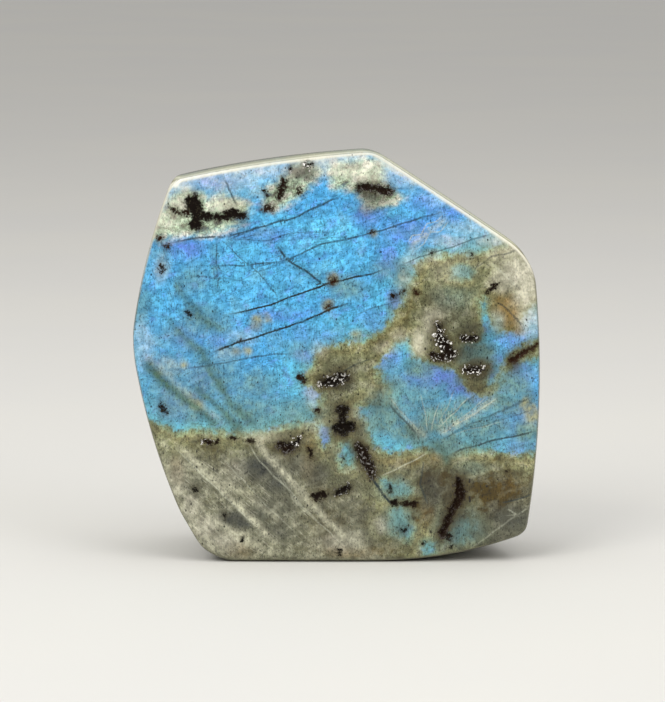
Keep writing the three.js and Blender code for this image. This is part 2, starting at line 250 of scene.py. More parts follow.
GREY = [
    (-19, 24, 6.5, 4, 1), (-20, 29, 4, 2, 0.5), (-24, 85, 2.4, 2, 0.4), (16, 73, 2.4, 3, 0.3),
    (-14.6, 20.4, 4, 4, 0.9), (-25, 11, 6, 3, 1), (-19, 13.4, 4, 3, 0.7), (-35, 19, 3, 3, 0.3),
    (-14, 14, 6, 5, 0.5), (-15, 8.4, 4, 3, 0.6), (-32, 21, 3, 3, 0.4), (-8, 25, 6, 4, 0.6),
    (-4, 23, 4, 4, 0.75), (44.5, 10.5, 7, 4.6, 0.8), (40, 7, 6, 4, 0.6), (28, 5, 4, 3, 0.5),
    (29, 13, 3, 8, 0.5), (24, 18, 3.4, 6, 0.7), (15, 23.4, 6, 2.4, 0.35), (7, 9, 7, 4, 0.25),
    (2, 20, 5, 3, 0.5), (-1, 28, 2.4, 3, 0.55), (5.4, 31, 2.4, 4, 0.6), (-1, 42, 3, 4, 0.55),
    (0, 45.6, 4.4, 3, 1.1), (21.6, 33, 4, 3, 0.5), (12, 45, 3, 3, 0.45), (28, 45, 4, 3, 0.35),
    (48, 41, 3, 3, 0.35), (0, 50, 6, 3, 0.35), (9.6, 40.6, 4, 3, 0.45), (24, 68, 3, 3, 0.3),
    (35, 72, 2.4, 2, 0.3), (32, 62, 4, 3.4, 0.6), (28, 65, 3.4, 3, 0.35), (33.5, 58.6, 4.6, 3, 0.9),
    (37.4, 66, 1.6, 3, 0.4), (28, 55, 4, 5, 0.5), (32, 53, 4, 3, 0.8), (36, 49, 4, 3, 1.1),
    (8, 49, 3, 2.4, 0.45), (32, 45.4, 4, 2, 0.5), (36, 53, 3, 3, 0.4), (-8.6, 97.8, 4.4, 2.6, 0.95),
    (8.6, 92.4, 3, 2, 0.95), (8, 89, 4.4, 2.2, 0.55),
]
TEAL = [
    (-22, 38, 12, 5, 0.7), (-42, 46, 7, 8, 0.5), (-41, 56, 6, 5, 0.3), (-31, 46, 8, 7, 0.6),
    (-40, 41, 8, 6, 0.6), (-10, 38, 7, 4, 0.65), (-36, 71, 4, 4, 0.5), (-20, 45, 6, 4, 0.6),
    (-49, 64, 3, 6, 0.5), (-9, 53, 4, 3, 0.35), (-44, 77, 3, 3, 0.4), (-33, 61, 6, 4, 0.6),
    (3, 69, 5, 2.4, 0.6), (12, 73, 3, 3, 0.5), (16, 72, 2.4, 4, 0.75), (48, 41, 3, 3, 0.6),
    (16, 44, 4, 4, 0.6), (16, 33, 4, 3, 0.8), (20, 41.5, 8, 5, 0.6), (-36, 37, 3, 2.4, 0.7),
    (-28, 53, 3, 2, 0.5), (26, 36.5, 9, 5, 0.9), (36, 34, 9, 5, 0.8), (41, 40, 8, 3.4, 0.8),
    (12, 36, 6, 5, 0.85), (19.6, 33, 4, 3.4, 1), (28, 29.6, 5, 3.4, 0.95), (48, 33, 5, 4, 0.9),
    (44, 45, 5, 4, 0.8), (12, 40, 4, 4, 0.75), (20, 48.4, 4, 2.4, 0.8), (32, 40, 4, 2.4, 0.7),
    (33, 52, 5, 3, 0.8), (36, 53, 4, 3, 1), (40, 60, 2, 4, 0.7), (38, 80.4, 8, 2, 0.5),
    (31.6, 73, 3, 2, 0.8), (30, 67, 6, 3, 0.3), (34, 24, 5, 2, 0.35), (31, 9, 6, 5, 0.9),
    (16, 10, 4, 5, 0.75), (15, 19, 5, 3, 0.75), (3, 27, 3, 4, 0.4), (24, 4, 4, 3, 0.4),
]
GOLD = [
    (41.6, 65, 3, 3, 1), (44, 62, 2.8, 4, 1.1), (46, 58.4, 1.6, 2.2, 0.9), (43, 20, 4, 3, 0.15),
    (22.6, 12, 2, 3, 0.3), (-24, 3, 4, 2, 0.4), (4, 2.4, 8, 1.4, 0.4), (-40, 24, 2, 4, 0.35),
    (-7, 26, 2, 5, 0.5), (-25, 90, 4, 2, 0.35), (15.4, 25.6, 6, 1.6, 0.35), (24, 26.4, 3, 1.4, 0.35),
]
SILKY = [(-26, 14, 24, 18, 1), (-4, 12, 16, 12, 0.7), (42, 8, 10, 8, 0.3)]
BRIGHT = [
    (-24, 72, 12, 7, 0.6), (-10, 70, 12, 5, 0.55), (-24, 64, 7, 4, 0.4), (-3, 82, 10, 4, 1.5),
    (-16, 86, 8, 2.6, 0.75), (-20, 93.4, 4, 2.4, 1), (-24, 79.4, 6, 2.4, 0.7), (-1, 74, 5, 2.4, 1),
    (-14, 47, 8, 3, 0.3), (6, 75, 7, 3, 0.5), (17, 89.6, 4, 3, 0.5), (4, 66, 6, 2.4, 0.35),
    (-42, 66, 5, 8, 0.4), (12, 33, 4, 4, 0.2), (-39, 36, 3, 2.4, 0.4),
]

# Cracks: points along each, half width in millimetres, and strength.
DARK_CRACKS = [
    ([(-45.4, 79.2), (-36.6, 81.2), (-28.6, 81.5), (-22.4, 83), (-16.4, 85), (-10.1, 86.5), (-1.6, 90.8),
      (2.1, 92)], 0.26, 0.75),
    ([(-34.6, 74.2), (-24, 74.6), (-13.1, 75.5), (-4.1, 79.8), (3, 81.2), (9.6, 82.8), (21.1, 86.5),
      (29.6, 88.6)], 0.24, 0.7),
    ([(-28.6, 62), (-22, 63.5), (-16.4, 64.8), (-5.6, 69), (-0.9, 70.5), (6.6, 72.2),
      (14.4, 74.2)], 0.24, 0.95),
    ([(14.4, 74.2), (24.4, 77.8), (32.6, 80.5), (39.6, 82.8)], 0.22, 0.55),
    ([(-33.1, 52), (-25.4, 55.2), (-17.9, 57.5), (-8.6, 60.5), (-0.9, 64), (4.4, 65.8)], 0.26, 0.95),
    ([(-39.9, 48.2), (-28.6, 50.2), (-19.4, 52), (-10.1, 52.8)], 0.22, 0.5),
    ([(-15.1, 79.8), (-12.4, 75.8), (-7.1, 72.8), (-2.1, 69.2)], 0.3, 0.8),
    ([(-28.1, 96.5), (-26.6, 93), (-24.6, 88.8)], 0.3, 0.6),
    ([(-28.9, 81.2), (-23.9, 76.5), (-17.9, 71.2), (-14, 66)], 0.18, 0.55),
    ([(-30.1, 81.2), (-29.8, 74), (-29.4, 68.2)], 0.2, 0.6),
    ([(-28.2, 81.3), (-16.6, 80.7), (-11.6, 82.7), (2.1, 82.9)], 0.18, 0.4),
    ([(28.1, 27.5), (38.9, 30.8), (50.4, 33)], 0.24, 0.75),
    ([(8.1, 22.2), (11, 18.5), (14.4, 13.8)], 0.32, 0.9),
    ([(12.9, 40.5), (17, 36), (20.9, 31.8)], 0.3, 0.6),
    ([(23.9, 29.8), (33.4, 34.8), (40.9, 38), (50, 42.2)], 0.25, 0.45),
    ([(41.4, 15), (45, 15.8), (49.5, 17)], 0.22, 0.6),
    ([(30, 32.4), (40, 35.6), (50, 39)], 0.2, 0.35),
    ([(26.4, 36), (33, 41), (39, 46)], 0.18, 0.35),
    ([(34, 73.5), (38.4, 76.5), (46, 78.6)], 0.22, 0.5),
    ([(40, 65.5), (43, 63.5), (47, 59)], 0.24, 0.5),
    ([(-24.1, 85), (-23, 90), (-20, 95)], 0.18, 0.25),
    ([(1, 48), (5, 50), (9, 51.6)], 0.2, 0.5),
    ([(-46, 84), (-44, 80), (-40, 70), (-42, 60)], 0.2, 0.25),
    ([(4, 62), (10, 64.5), (16, 66)], 0.2, 0.45),
    ([(-38, 72), (-24, 71), (-12, 76)], 0.18, 0.35),
    ([(22, 26), (21, 20), (23, 14)], 0.25, 0.5),
]
DARK_BANDS = [
    ([(-39.6, 72.8), (-38.9, 68.2), (-36.9, 64.2), (-33.1, 61.2), (-26.1, 57.5)], 1, 0.65),
    ([(-49.1, 52), (-43.9, 46), (-36.1, 40), (-28.6, 33)], 1.1, 1),
    ([(-43.9, 63.5), (-33.9, 52.8), (-26.9, 40.5), (-19.4, 33.8)], 0.9, 0.8),
    ([(-37, 45), (-30, 39.4), (-22.4, 32.4)], 0.8, 0.8),
    ([(-41, 59), (-36, 54), (-32, 48)], 0.8, 0.4),
    ([(-1, 71), (6.6, 73), (14.4, 75.4), (24, 78.8), (33, 81.6)], 0.6, 0.25),
    ([(24, 31), (27, 27.5), (28, 24)], 0.9, 0.6),
    ([(20.4, 31.4), (17, 35.4), (12.6, 41)], 0.7, 0.5),
    ([(-15.6, 80.4), (-12.4, 76), (-7.1, 73), (-2.1, 69.6)], 0.8, 0.4),
    ([(-31, 81.4), (-30.4, 74), (-30, 67)], 1.1, 0.35),
    ([(-39, 78.4), (-28, 80.4), (-16, 84), (-4, 88.4)], 0.7, 0.2),
]
LIGHT_BANDS = [
    ([(-21.6, 33), (-16.4, 26), (-10.1, 19.2), (-2.6, 10.8), (5.1, 3.8)], 0.8, 1),
    ([(-41, 31), (-34, 24), (-27.6, 17.2), (-21, 10.6), (-14, 3.6)], 0.7, 0.9),
    ([(-50, 54.5), (-43, 47.4), (-35.4, 41.2), (-27, 34)], 0.9, 0.2),
    ([(-32.9, 12.2), (-24.1, 6), (-16.6, 2.2)], 0.9, 0.6),
    ([(-40, 26), (-30, 21), (-22, 17), (-12, 9)], 0.8, 0.4),
    ([(-4, 12), (2, 8), (9, 2)], 0.7, 0.4),
    ([(17.4, 78), (20, 80.6), (22.9, 82.8), (28.1, 86.5)], 0.7, 0.5),
    ([(20.4, 59), (19.9, 56), (20.9, 52)], 0.8, 0.8),
    ([(23.1, 30.8), (18, 36), (13, 42)], 0.9, 0.25),
    ([(25, 32), (32, 36), (41.1, 42)], 0.8, 0.4),
]
LIGHT_RAYS = [
    ([(26, 32.6), (32, 36), (41.1, 42)], 0.22, 0.6),
    ([(25, 33.4), (30, 38.6), (33.4, 42)], 0.18, 0.55),
    ([(23.4, 33), (24.4, 36.6), (25.9, 40.6)], 0.16, 0.5),
    ([(29, 32.2), (34, 33.6), (42, 35.6)], 0.16, 0.3),
    ([(21, 33), (17, 37.4), (13, 42)], 0.16, 0.35),
    ([(25, 34), (27.6, 39), (29.6, 44)], 0.14, 0.35),
    ([(27.4, 33.8), (34, 38.6), (38, 42.4)], 0.16, 0.4),
    ([(22.8, 33), (22, 38), (21, 43)], 0.14, 0.4),
    ([(10.9, 21.6), (17, 24.8), (23.4, 28)], 0.18, 0.6),
    ([(38.6, 75), (42, 72), (45.5, 69)], 0.3, 0.45),
    ([(43, 13.4), (44.5, 12.4), (46, 11.4)], 0.22, 0.6),
    ([(33, 3), (38, 6.5), (43, 10.6), (50, 14.6)], 0.2, 0.3),
    ([(-22.6, 31), (-19, 25.4), (-12, 18.4), (-5, 10.6), (2, 4.2)], 0.2, 0.45),
    ([(-41.4, 30), (-34, 22.6), (-27, 15.6), (-19, 8)], 0.2, 0.5),
    ([(-14, 22), (-11, 16), (-3, 8.6)], 0.18, 0.3),
    ([(-30, 28), (-20, 17), (-9, 6)], 0.18, 0.3),
    ([(17.4, 79.4), (19, 82), (21.4, 82.4), (22.4, 85), (25, 85.4), (26.6, 87.4)], 0.16, 0.6),
    ([(19.4, 78.4), (21.6, 80), (23.2, 82.8), (25.8, 82.8), (28.6, 86.4)], 0.16, 0.6),
]

# Pits and dark inclusions: strokes of x, z and radius, then depth, and shares of painted crystal glints and
# rust.
PITS = [
    ([(-36.1, 90.6, 1.6), (-35.6, 89.4, 1.9), (-34.9, 88, 1.5), (-34.9, 86.4, 1.1),
      (-35, 84.8, 1.7)], 0.35, 0, 0.1),
    ([(-34.6, 86.9, 1), (-31, 86.6, 0.8), (-28.4, 86.7, 0.8), (-26.4, 87.1, 1.2), (-25, 87.2, 1.1),
      (-23, 86.9, 0.9)], 0.3, 0, 0.1),
    ([(-41, 88.6, 0.5), (-39.5, 87.7, 0.35), (-37, 87.5, 0.7)], 0.3, 0, 0.4),
    ([(-13.1, 95.6, 0.8), (-13.4, 93.5, 0.95), (-14.4, 91, 0.5)], 0.35, 0, 0.35),
    ([(-17.4, 88.8, 0.9), (-16.4, 88.6, 0.7)], 0.4, 0, 0.5),
    ([(-18.4, 93, 0.35), (-17.6, 92.3, 0.35)], 0.2, 0, 0.2),
    ([(-9.6, 92.6, 0.5), (-9.2, 93.3, 0.5)], 0.2, 0, 0.3),
    ([(-11.4, 98.6, 0.5)], 0.2, 1, 0.1),
    ([(-8, 99.6, 0.4), (-6.8, 99.2, 0.5)], 0.2, 1, 0.1),
    ([(5.8, 94.2, 0.9), (7, 94, 0.8), (9.4, 93.7, 0.8), (11.4, 93.3, 1.2),
      (13.1, 92.8, 1)], 0.5, 0.1, 0.3),
    ([(25.4, 59.5, 0.6), (25.6, 57, 0.8), (26.9, 54.6, 1.4), (28.3, 52.4, 1.6)], 1.2, 1, 0.2),
    ([(24.2, 52.1, 0.9), (26.6, 51.4, 1.1)], 0.7, 0.5, 0.3),
    ([(32, 56.5, 0.9), (34.6, 56.4, 0.8)], 0.6, 0.8, 0.1),
    ([(32.3, 48.6, 0.8), (34.4, 48.4, 1.1), (36.6, 48.8, 0.6)], 0.8, 0.9, 0.2),
    ([(-3, 45.4, 1), (-0.5, 46, 1.5), (1.6, 46.9, 1)], 0.9, 0.6, 0.1),
    ([(0.5, 38.4, 0.8), (1.2, 39.2, 0.7), (2.4, 38.9, 0.8), (1.4, 36.8, 0.9),
      (1.2, 35.4, 1.2)], 0.9, 0.1, 0.1),
    ([(0.2, 34, 1.3), (2, 34, 1.9), (3.7, 34.4, 1.2)], 1.3, 0.05, 0.1),
    ([(-14, 29.6, 1.1), (-12.4, 29, 1.5), (-11, 29.6, 0.9)], 0.8, 0.1, 0.3),
    ([(-10.4, 30.6, 0.8), (-9.7, 31.2, 0.8)], 0.6, 1, 0.1),
    ([(-33.2, 30.9, 0.6), (-31.6, 30.2, 0.7)], 0.5, 0.7, 0.3),
    ([(-30.1, 30.4, 0.6)], 0.3, 0, 0.2),
    ([(-26.4, 31.7, 0.45), (-25.4, 31.4, 0.4)], 0.2, 0, 0.3),
    ([(-22, 30.8, 0.5), (-21.2, 30.7, 0.4)], 0.25, 0, 0.2),
    ([(5.5, 29.4, 0.9), (6.8, 27.4, 1.4), (7.8, 25, 1.5), (8.8, 22.6, 0.8)], 0.9, 0.2, 0.3),
    ([(0.2, 17.7, 0.8), (2.2, 18.4, 0.8), (3.1, 19.3, 0.6)], 0.6, 0.4, 0.1),
    ([(-5.8, 16.6, 0.7), (-3.4, 17.4, 0.9)], 0.5, 0, 0.2),
    ([(30.6, 21.2, 0.8), (30.9, 18.2, 1.3), (30.3, 15.4, 1.2), (28.6, 12.4, 0.8),
      (26.4, 7, 0.75)], 1.2, 0.05, 0.4),
    ([(43.8, 50.9, 0.8), (45.4, 51.6, 0.7), (48, 53.4, 0.45), (50.6, 55, 0.35)], 0.6, 0, 0.8),
    ([(38, 68.1, 0.3), (38.9, 69.3, 0.7), (40, 69.9, 0.4)], 0.3, 0, 0.2),
    ([(14.4, 15, 0.7), (15, 14.6, 0.5)], 0.4, 0, 0.1),
    ([(16.8, 15.2, 0.5), (19.8, 15, 0.7)], 0.4, 0, 0.3),
    ([(17, 8.3, 0.7)], 0.4, 0, 0),
    ([(28, 6.6, 0.8)], 0.4, 0, 0.2),
    ([(28.6, 4, 0.4)], 0.2, 0, 0),
    ([(21.9, 5, 0.35)], 0.2, 0, 0),
    ([(-6.7, 28.7, 0.45), (-6.4, 27, 0.6)], 0.4, 0, 0.2),
    ([(-43.7, 39.6, 0.4), (-43, 38, 0.6)], 0.3, 0, 0.1),
    ([(-37.2, 63, 0.45), (-36.5, 62.2, 0.5)], 0.3, 0, 0),
    ([(-43.6, 74, 0.6), (-43.4, 72.9, 0.35)], 0.3, 0, 0.2),
    ([(-35.5, 18.9, 0.45), (-35.2, 18, 0.35)], 0.3, 0, 0),
    ([(-24.2, 55.8, 0.45)], 0.25, 0, 0),
    ([(-1, 70.9, 0.75)], 0.3, 0, 0.8),
    ([(-2, 64.7, 0.6)], 0.3, 0, 0.9),
    ([(8.9, 83, 0.5)], 0.2, 0, 0.3),
    ([(14.4, 67.2, 0.7)], 0.2, 0, 0.2),
    ([(20, 67.8, 0.6)], 0.2, 0, 0.7),
    ([(-9.2, 46.9, 0.8), (-7.9, 46, 0.45)], 0.3, 0, 0.4),
    ([(-4.9, 38.6, 0.4)], 0.2, 0, 0.3),
    ([(-44.4, 81.1, 0.7)], 0.3, 0, 0.7),
    ([(-42.4, 79.4, 0.5)], 0.2, 0, 0.5),
    ([(16.5, 68.2, 0.4)], 0.2, 0, 0.3),
    ([(23.8, 77.6, 0.4)], 0.2, 0, 0.2),
    ([(33.8, 77.2, 0.4)], 0.2, 0, 0.2),
    ([(42.6, 23.4, 0.4)], 0.2, 0, 0.3),
    ([(13, 19.4, 0.3), (13.2, 18, 0.35)], 0.2, 0, 0.1),
    ([(0.9, 3.2, 0.4), (0.9, 2, 0.3)], 0.2, 0, 0),
    ([(2, 26.6, 0.35)], 0.2, 0, 0),
    ([(-23.5, 5.8, 0.35)], 0.2, 0, 0),
    ([(-28, 11.9, 0.3)], 0.2, 0, 0),
]

# Colours as the eye sees them, from 0 to 255.
GREY_OLIVE = (115, 115, 92)
OLIVE = (133, 135, 97)
TAN = (143, 139, 96)
FRINGE = (142, 156, 116)
CYAN = (102, 160, 160)
LIGHT_AZURE = (92, 174, 202)
AZURE = (84, 174, 214)
DEEP_AZURE = (76, 160, 214)
VIOLET_BLUE = (98, 124, 214)
TEAL_GREY = (96, 131, 128)
BRIGHT_BLUE = (104, 200, 238)
BROWN = (62, 49, 6)
AMBER = (124, 100, 52)
CREAM = (226, 221, 200)
DULL_CREAM = (140, 134, 104)
YELLOW_CREAM = (188, 206, 160)
SMOKE = (56, 58, 52)
DARK_OLIVE = (66, 60, 36)
CRACK = (26, 42, 44)
BAND = (66, 96, 84)
VEIN = (34, 92, 122)
STREAK = (190, 188, 162)
RAY = (188, 190, 168)
PIT = (12, 9, 6)
RUST = (64, 34, 14)
# painted glint on the crystal grains in the pits
CRYSTAL_GLINT = (250, 247, 240)
FLOOR = (206, 204, 199)

# Colour across the border of a blue zone: millimetres inside it, and the colour there.
FLASH_COLOURS = [
    (-8, GREY_OLIVE), (-3, OLIVE), (-1.3, TAN), (-0.1, FRINGE),
    (1.2, CYAN), (2.8, LIGHT_AZURE), (5.5, AZURE), (10, DEEP_AZURE),
]


def linear(colour):
    """A colour from 0 to 255 as the linear one that shaders use."""
    parts = [value / 255 for value in colour]
    return [part / 12.92 if part <= 0.04045 else ((part + 0.055) / 1.055) ** 2.4 for part in parts] + [1]


def smooth(low, high, values):
    """0 below low, 1 above high, and an even curve between."""
    share = np.clip((values - low) / (high - low), 0, 1)
    return share * share * (3 - 2 * share)


def segment(points, start, end):
    """Distance of every point from a segment, share of the way along it, and side that the point is on."""
    run = np.subtract(end, start)
    away = points - start
    share = np.clip(away @ run / max(run @ run, 1e-9), 0, 1)
    side = np.where(run[0] * away[:, 1] >= run[1] * away[:, 0], 1, -1)
    gap = away - share[:, None] * run
    return np.hypot(gap[:, 0], gap[:, 1]), share, side


def inside_outline(points, outline):
    """How far inside an outline every point lies, negative outside."""
    nearest = np.full(len(points), np.inf)
    inside = np.zeros(len(points), bool)
    for start, end in zip(outline, outline[1:] + outline[:1]):
        nearest = np.minimum(nearest, segment(points, start, end)[0])
        if start[1] == end[1]:
            continue
        crosses = (start[1] > points[:, 1]) != (end[1] > points[:, 1])
        at = start[0] + (points[:, 1] - start[1]) / (end[1] - start[1]) * (end[0] - start[0])
        inside ^= crosses & (points[:, 0] < at)
    return np.where(inside, nearest, -nearest)


def inside_stroke(points, stroke):
    """How far inside a stroke of changing radius every point lies, negative outside."""
    deepest = np.full(len(points), -np.inf)
    for (*start, radius), (*end, end_radius) in zip(stroke, stroke[1:] or stroke):
        distance, share, _ = segment(points, start, end)
        deepest = np.maximum(deepest, radius + share * (end_radius - radius) - distance)
    return deepest


def along_lines(points, lines):
    """For each line: distance of every point, strength that fades at the ends, side, and half width."""
    for path, half_width, strength in lines:
        steps = len(path) - 1
        nearest = np.full(len(points), np.inf)
        shown = np.zeros(len(points))
        sides = np.ones(len(points))
        for step, (start, end) in enumerate(zip(path, path[1:])):
            distance, share, side = segment(points, start, end)
            along = (step + share) / steps
            closer = distance < nearest
            nearest[closer] = distance[closer]
            shown[closer] = (strength * smooth(0, LINE_TAPER, np.minimum(along, 1 - along)))[closer]
            sides[closer] = side[closer]
        yield nearest, shown, sides, half_width


def soft_lines(points, lines):
    """The strongest of some wide soft lines at every point."""
    strongest = np.zeros(len(points))
    for nearest, shown, _, half_width in along_lines(points, lines):
        strongest = np.maximum(strongest, shown * smooth(BAND_REACH * half_width, 0, nearest))
    return strongest


def thin_lines(points, lines):
    """Signed distance to the nearest thin line, strength of that line, and its half width."""
    closest = np.full(len(points), np.inf)
    field = np.ones((len(points), 3))
    for nearest, shown, sides, half_width in along_lines(points, lines):
        closer = nearest < closest
        closest[closer] = nearest[closer]
        near = smooth(LINE_REACH, LINE_REACH / 2, nearest)
        width = np.full(len(points), half_width)
        field[closer] = np.stack([nearest * sides, shown * near, width], axis=1)[closer]
    return field


def patches(points, spots):
    """The strongest of some soft round patches at every point."""
    strongest = np.zeros(len(points))
    for x, z, wide, high, amount in spots:
        reach = ((points[:, 0] - x) / wide) ** 2 + ((points[:, 1] - z) / high) ** 2
        strongest = np.maximum(strongest, amount * np.exp(-(reach ** PATCH_FALLOFF)))
    return strongest


def round_spots(points):
    """The strongest of the small cream spots at every point."""
    strongest = np.zeros(len(points))
    for x, z, radius in CREAM_SPOTS:
        distance = np.hypot(points[:, 0] - x, points[:, 1] - z)
        strongest = np.maximum(strongest, smooth(radius + SPOT_SOFTNESS, radius - SPOT_SOFTNESS, distance))
    return strongest


def wander(places, shifts):
    """A smooth random shift at every place, the sum of shifts of several sizes."""
    total = np.zeros((len(places), 3))
    for size, amount in shifts:
        total += amount * np.array([noise.noise_vector(Vector(place) / size) for place in places])
    return total


def read_vertices(mesh, what):
    """Three values of every vertex."""
    flat = np.zeros(3 * len(mesh.vertices), np.float32)
    mesh.vertices.foreach_get(what, flat)
    return flat.reshape(-1, 3).astype(float)


def coordinates(mesh):
    """The mesh's vertices, in millimetres."""
    return read_vertices(mesh, "co") / MM


def normals(mesh):
    """The way that the mesh faces at every vertex."""
    return read_vertices(mesh, "normal")


def move_to(mesh, places):
    """Puts the mesh's vertices at places in millimetres."""
    mesh.vertices.foreach_set("co", (places * MM).astype(np.float32).ravel())
    mesh.update()


def store(mesh, name, *columns):
    """Keeps one value or three at every vertex, for the material."""
    kind, field = ("FLOAT", "value") if len(columns) == 1 else ("FLOAT_VECTOR", "vector")
    attribute = mesh.attributes.new(name, kind, "POINT")
    attribute.data.foreach_set(field, np.stack(columns, axis=1).astype(np.float32).ravel())


def dome(places):
    """Depth of the face's dome at every place, from a datum of its own."""
    lean = math.tan(math.radians(FACE_LEAN))
    spread = places[:, 0] ** 2 + (places[:, 2] - FACE_MIDDLE_UP / MM) ** 2
    return places[:, 2] * lean + spread / (2 * FACE_DOME_RADIUS / MM)


def face_datum(mesh):
    """The datum that puts the dome on the solid's polished face."""
    places = coordinates(mesh)
    on_face = normals(mesh)[:, 1] < -FLAT_ON
    return float(np.median((places[:, 1] - dome(places))[on_face]))


def copied_stone():
    """The solid's mesh as a new piece, in squares instead of triangles."""
    piece = bpy.data.objects.new(PIECE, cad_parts[NODE].data.copy())
    bpy.context.scene.collection.objects.link(piece)
    work = bmesh.new()
    work.from_mesh(piece.data)
    bmesh.ops.remove_doubles(work, verts=work.verts, dist=WELD)
    bmesh.ops.join_triangles(
        work, faces=work.faces, angle_face_threshold=SQUARE_ANGLE, angle_shape_threshold=SQUARE_ANGLE
    )
    work.to_mesh(piece.data)
    work.free()
    return piece


def subdivide(piece):
    """Rounds the solid's facets."""
    modifier = piece.modifiers.new("finer", "SUBSURF")
    modifier.levels = SUBDIVISIONS
    seen = piece.evaluated_get(bpy.context.evaluated_depsgraph_get())
    finer = bpy.data.meshes.new_from_object(seen)
    piece.modifiers.clear()
    piece.data = finer


def pit_field(points, depth):
    """How far inside a pit every point lies, and that pit's depth, share of painted crystal glints, and
    rust.
    """
    nearest = np.full(len(points), -np.inf)
    facts = np.zeros((len(points), 3))
    for stroke, deep, crystal_glints, rust in PITS:
        inside = inside_stroke(points, stroke)
        closer = inside > nearest
        nearest[closer] = inside[closer]
        facts[closer] = (deep, crystal_glints, rust)
    return nearest - PIT_FADE * np.clip(depth, 0, None), facts


def refine_pits(piece, datum):
    """Halves the squares in and round the pits of the face."""
    places = coordinates(piece.data)
    depth = places[:, 1] - dome(places) - datum
    near = pit_field(places[:, [0, 2]], depth)[0] > -PIT_REACH
    work = bmesh.new()
    work.from_mesh(piece.data)
    work.verts.ensure_lookup_table()
    edges = [edge for edge in work.edges if all(near[end.index] for end in edge.verts)]
    bmesh.ops.subdivide_edges(work, edges=edges, cuts=1, use_grid_fill=True)
    work.to_mesh(piece.data)
    work.free()


def fill_dents(piece, datum):
    """Puts the face back on its dome where the solid has a coarse dent."""
    places = coordinates(piece.data)
    level = dome(places) + datum
    depth = places[:, 1] - level
    near = pit_field(places[:, [0, 2]], depth)[0] > -FLATTEN_REACH
    inner = inside_outline(places[:, [0, 2]], FACE_OUTLINE) > RIM
    facing = normals(piece.data)[:, 1] < -TOWARDS
    shallow = near & inner & facing & (depth < DENT_DEPTH)
    places[shallow, 1] = level[shallow]
    move_to(piece.data, places)


def store_zones(mesh, points):
    """Keeps how far inside the blue and the cream every point lies, and its soft patches."""
    blue = [MAIN_FLASH, RIGHT_FLASH, SHOULDER_FLASH, *FLASH_ISLANDS]
    for name, outlines in (("flash", blue), ("cream", CREAM_PATCHES)):
        inside = np.max([inside_outline(points, outline) for outline in outlines], axis=0)
        store(mesh, name, np.clip(inside, -ZONE_FIELD, ZONE_FIELD))
    for name, groups in (("tint", (WARM, VIOLET, PALE_AND_SHEEN)), ("shade", (GREY, TEAL, BRIGHT))):
        store(mesh, name, *[patches(points, spots) for spots in groups])


def store_marks(mesh, rough, straight):
    """Keeps the cream spots, the soft bands, the cracks and the rays."""
    dark, light = soft_lines(rough, DARK_BANDS), soft_lines(straight, LIGHT_BANDS)
    store(mesh, "soft", round_spots(rough), dark, light)
    store(mesh, "crack", *thin_lines(straight, DARK_CRACKS).T)
    store(mesh, "ray", *thin_lines(straight, LIGHT_RAYS).T)


def store_pits(mesh, rough, inside, facts):
    """Keeps how far inside a pit every point lies, that pit's share of painted crystal glints and its rust,
    and the stains.
    """
    deep, crystal_glints, rust = facts.T
    store(mesh, "pit", np.clip(inside, -PIT_FIELD, PIT_FIELD), crystal_glints, rust)
    smudge = smooth(*SMUDGE_DEPTHS, deep) * smooth(-SMUDGE_REACH, 0, inside)
    store(mesh, "stain", patches(rough, GOLD), patches(rough, SILKY), smudge)


def sink_pits(mesh, places, outward, inside, deep):
    """Lowers the surface into the pits, with broken floors, and keeps it in the solid's box."""
    broken = wander(places, PIT_FLOOR_SHIFTS)[:, 0]
    sunk = deep * smooth(0, PIT_WALL, inside) * (1 - PIT_ROUGHNESS * (1 + broken))
    low, high = np.array(cad_box) / MM
    move_to(mesh, np.clip(places - outward * sunk[:, None], low, high))


def paint(mesh, datum):
    """Keeps every field that the material draws in the mesh, and then sinks the pits."""
    places = coordinates(mesh)
    outward = normals(mesh)
    depth = np.clip(places[:, 1] - dome(places) - datum, 0, None)
    zones = places[:, [0, 2]] + depth[:, None] * (DRIFT_RIGHT, DRIFT_UP)
    rough = zones + wander(places, ZONE_SHIFTS)[:, [0, 2]]
    straight = zones + wander(places, LINE_SHIFTS)[:, [0, 2]]
    fine = places[:, [0, 2]] + wander(places, PIT_SHIFTS)[:, [0, 2]]
    inside, facts = pit_field(fine, depth)
    store(mesh, "outward", *outward.T)
    store_zones(mesh, rough)
    store_marks(mesh, rough, straight)
    store_pits(mesh, rough, inside, facts)
    sink_pits(mesh, places, outward, inside, facts[:, 0])


